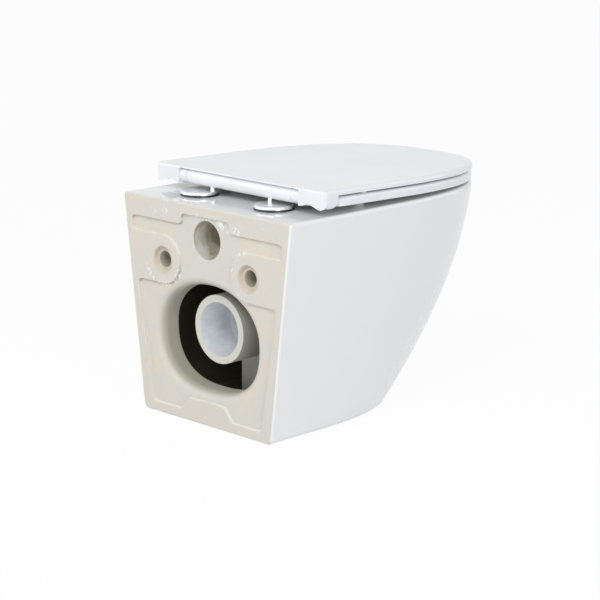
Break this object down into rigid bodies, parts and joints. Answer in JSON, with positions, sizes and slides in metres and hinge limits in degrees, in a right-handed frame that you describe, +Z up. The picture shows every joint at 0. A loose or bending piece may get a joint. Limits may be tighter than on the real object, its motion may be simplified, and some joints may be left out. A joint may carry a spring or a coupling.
{
  "type": "wall hung toilet",
  "caption": "Wall hung toilet: fully skirted ceramic pan with rear flush inlet and horizontal outlet, ring seat and flat lid on a soft-close hinge with chrome posts.",
  "frame": {"origin": "on the wall plane, midway between the two wall fixing holes", "axes": "+Y points out of the pan's rear face into the wall, so the pan projects towards -Y; +Z is up; +X is towards the sitter's left"},
  "size_m": [0.352, 0.4889, 0.3615],
  "materials": {
    "glazed_ceramic": "gloss white glaze, with an unglazed cream rear face and hollow",
    "white_plastic": "gloss white moulded thermoset",
    "chrome": "polished chrome plate",
    "steel": "stainless steel",
    "brass": "turned brass",
    "grey_plastic": "moulded acetal",
    "buffer_rubber": "soft white rubber",
    "seal_rubber": "black rubber"
  },
  "bodies": {
    "root": {"pan": "glazed_ceramic", "pan_deck": "glazed_ceramic", "pan_skirt": "glazed_ceramic", "pan_bowl": "glazed_ceramic", "pan_trapway": "glazed_ceramic", "pan_inlet": "glazed_ceramic", "hinge_barrel": "white_plastic", "damper_left": "grey_plastic", "damper_right": "grey_plastic", "hinge_post_left": "chrome", "hinge_post_right": "chrome", "rosette_left": "chrome", "rosette_right": "chrome", "base_plate_left": "steel", "base_plate_right": "steel", "base_gasket_left": "seal_rubber", "base_gasket_right": "seal_rubber", "fixing_screw_left": "steel", "fixing_screw_right": "steel", "expansion_plug_left": "seal_rubber", "expansion_plug_right": "seal_rubber", "plug_nut_left": "brass", "plug_nut_right": "brass"},
    "seat": {"seat": "white_plastic", "seat_buffers": "buffer_rubber", "seat_shaft": "steel", "seat_bush": "grey_plastic"},
    "lid": {"lid": "white_plastic", "lid_buffers": "buffer_rubber", "lid_shaft": "steel", "lid_bush": "grey_plastic"}
  },
  "joints": [
    {"name": "lid_hinge", "type": "hinge", "parent": "root", "child": "lid", "pos_m": [0, -0.076, 0.1125], "axis": [-1, 0, 0], "range_deg": [0, 96.5]},
    {"name": "seat_hinge", "type": "hinge", "parent": "root", "child": "seat", "pos_m": [0, -0.076, 0.1125], "axis": [-1, 0, 0], "range_deg": [0, 93.5]}
  ],
  "couplings": [
    {"joint": "seat_hinge", "follows": "lid_hinge", "ratio": 0.96891}
  ]
}
